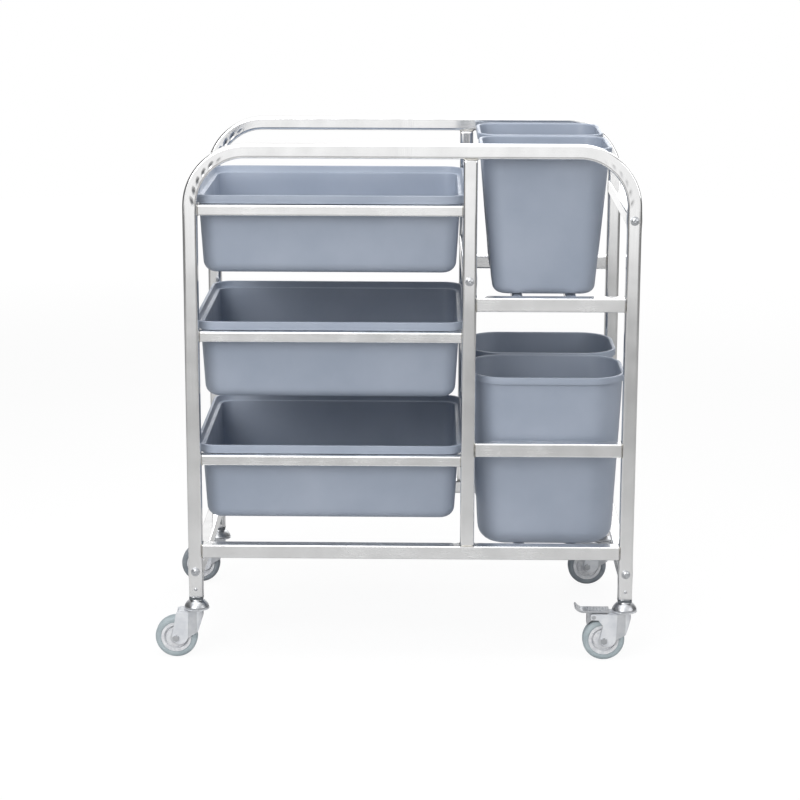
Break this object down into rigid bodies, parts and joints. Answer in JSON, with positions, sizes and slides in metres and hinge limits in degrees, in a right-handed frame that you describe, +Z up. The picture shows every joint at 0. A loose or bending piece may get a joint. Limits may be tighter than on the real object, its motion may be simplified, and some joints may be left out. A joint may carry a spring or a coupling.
{
  "type": "tray return trolley",
  "caption": "Square-tube trolley on swivel castors that hangs wide shallow tubs in one bay and stands deep bins in the other, for clearing trays.",
  "frame": {"origin": "on the floor, under the middle of the outline with all castors trailing to -X", "axes": "+Z up; front of the trolley towards -Y; the bins' bay towards +X"},
  "size_m": [0.873, 0.501, 0.934],
  "materials": {
    "stainless_tube": "satin",
    "zinc_plate": "satin",
    "tub_plastic": "satin",
    "tyre_rubber": "matte",
    "wheel_plastic": "satin",
    "plug_plastic": "matte"
  },
  "bodies": {
    "frame": {"front_bow": "stainless_tube", "rear_bow": "stainless_tube", "front_mid_post": "stainless_tube", "rear_mid_post": "stainless_tube", "front_bottom_rail": "stainless_tube", "rear_bottom_rail": "stainless_tube", "front_shelf_rail": "stainless_tube", "rear_shelf_rail": "stainless_tube", "front_guard_rail": "stainless_tube", "rear_guard_rail": "stainless_tube", "front_upper_tub_rail": "stainless_tube", "front_middle_tub_rail": "stainless_tube", "front_lower_tub_rail": "stainless_tube", "rear_upper_tub_rail": "stainless_tube", "rear_middle_tub_rail": "stainless_tube", "rear_lower_tub_rail": "stainless_tube", "left_cross_tube": "stainless_tube", "right_cross_tube": "stainless_tube", "mid_cross_tube": "stainless_tube", "high_cross_tube": "stainless_tube", "shelf_bearers": "stainless_tube", "floor_bearers": "stainless_tube", "frame_bolts": "zinc_plate", "leg_plugs": "plug_plastic", "plug_rivets": "zinc_plate", "front_left_stem": "zinc_plate", "front_right_stem": "zinc_plate", "rear_left_stem": "zinc_plate", "rear_right_stem": "zinc_plate"},
    "upper_tub": {"upper_tub": "tub_plastic"},
    "middle_tub": {"middle_tub": "tub_plastic"},
    "lower_tub": {"lower_tub": "tub_plastic"},
    "front_upper_bin": {"front_upper_bin": "tub_plastic"},
    "rear_upper_bin": {"rear_upper_bin": "tub_plastic"},
    "front_lower_bin": {"front_lower_bin": "tub_plastic"},
    "rear_lower_bin": {"rear_lower_bin": "tub_plastic"},
    "front_left_swivel": {"front_left_fork": "zinc_plate", "front_left_axle": "zinc_plate"},
    "front_left_wheel": {"front_left_tyre": "tyre_rubber", "front_left_wheel_centre": "wheel_plastic"},
    "front_right_swivel": {"front_right_fork": "zinc_plate", "front_right_axle": "zinc_plate", "front_right_brake_pin": "zinc_plate"},
    "front_right_wheel": {"front_right_tyre": "tyre_rubber", "front_right_wheel_centre": "wheel_plastic"},
    "front_right_pedal": {"front_right_brake_pedal": "zinc_plate"},
    "rear_left_swivel": {"rear_left_fork": "zinc_plate", "rear_left_axle": "zinc_plate"},
    "rear_left_wheel": {"rear_left_tyre": "tyre_rubber", "rear_left_wheel_centre": "wheel_plastic"},
    "rear_right_swivel": {"rear_right_fork": "zinc_plate", "rear_right_axle": "zinc_plate", "rear_right_brake_pin": "zinc_plate"},
    "rear_right_wheel": {"rear_right_tyre": "tyre_rubber", "rear_right_wheel_centre": "wheel_plastic"},
    "rear_right_pedal": {"rear_right_brake_pedal": "zinc_plate"}
  },
  "joints": [
    {"name": "upper_tub_lift", "type": "slide", "parent": "frame", "child": "upper_tub", "axis": [0, 0, 1], "range_m": [0, 0.06]},
    {"name": "middle_tub_lift", "type": "slide", "parent": "frame", "child": "middle_tub", "axis": [0, 0, 1], "range_m": [0, 0.06]},
    {"name": "lower_tub_lift", "type": "slide", "parent": "frame", "child": "lower_tub", "axis": [0, 0, 1], "range_m": [0, 0.06]},
    {"name": "front_upper_bin_lift", "type": "slide", "parent": "frame", "child": "front_upper_bin", "axis": [0, 0, 1], "range_m": [0, 0.28]},
    {"name": "rear_upper_bin_lift", "type": "slide", "parent": "frame", "child": "rear_upper_bin", "axis": [0, 0, 1], "range_m": [0, 0.28]},
    {"name": "front_lower_bin_pull", "type": "slide", "parent": "frame", "child": "front_lower_bin", "axis": [1, 0, 0], "range_m": [0, 0.3]},
    {"name": "rear_lower_bin_pull", "type": "slide", "parent": "frame", "child": "rear_lower_bin", "axis": [1, 0, 0], "range_m": [0, 0.3]},
    {"name": "front_left_swivel", "type": "hinge", "parent": "frame", "child": "front_left_swivel", "pos_m": [-0.3615, -0.2275, 0.0882], "axis": [0, 0, 1], "continuous": true},
    {"name": "front_left_roll", "type": "hinge", "parent": "front_left_swivel", "child": "front_left_wheel", "pos_m": [-0.3985, -0.2275, 0.038], "axis": [0, 1, 0], "continuous": true},
    {"name": "front_right_swivel", "type": "hinge", "parent": "frame", "child": "front_right_swivel", "pos_m": [0.4135, -0.2275, 0.0882], "axis": [0, 0, 1], "continuous": true},
    {"name": "front_right_roll", "type": "hinge", "parent": "front_right_swivel", "child": "front_right_wheel", "pos_m": [0.3765, -0.2275, 0.038], "axis": [0, 1, 0], "continuous": true},
    {"name": "front_right_brake", "type": "hinge", "parent": "front_right_swivel", "child": "front_right_pedal", "pos_m": [0.3575, -0.2275, 0.0822], "axis": [0, -1, 0], "range_deg": [0, 9]},
    {"name": "rear_left_swivel", "type": "hinge", "parent": "frame", "child": "rear_left_swivel", "pos_m": [-0.3615, 0.2275, 0.0882], "axis": [0, 0, 1], "continuous": true},
    {"name": "rear_left_roll", "type": "hinge", "parent": "rear_left_swivel", "child": "rear_left_wheel", "pos_m": [-0.3985, 0.2275, 0.038], "axis": [0, 1, 0], "continuous": true},
    {"name": "rear_right_swivel", "type": "hinge", "parent": "frame", "child": "rear_right_swivel", "pos_m": [0.4135, 0.2275, 0.0882], "axis": [0, 0, 1], "continuous": true},
    {"name": "rear_right_roll", "type": "hinge", "parent": "rear_right_swivel", "child": "rear_right_wheel", "pos_m": [0.3765, 0.2275, 0.038], "axis": [0, 1, 0], "continuous": true},
    {"name": "rear_right_brake", "type": "hinge", "parent": "rear_right_swivel", "child": "rear_right_pedal", "pos_m": [0.3575, 0.2275, 0.0822], "axis": [0, -1, 0], "range_deg": [0, 9]}
  ]
}
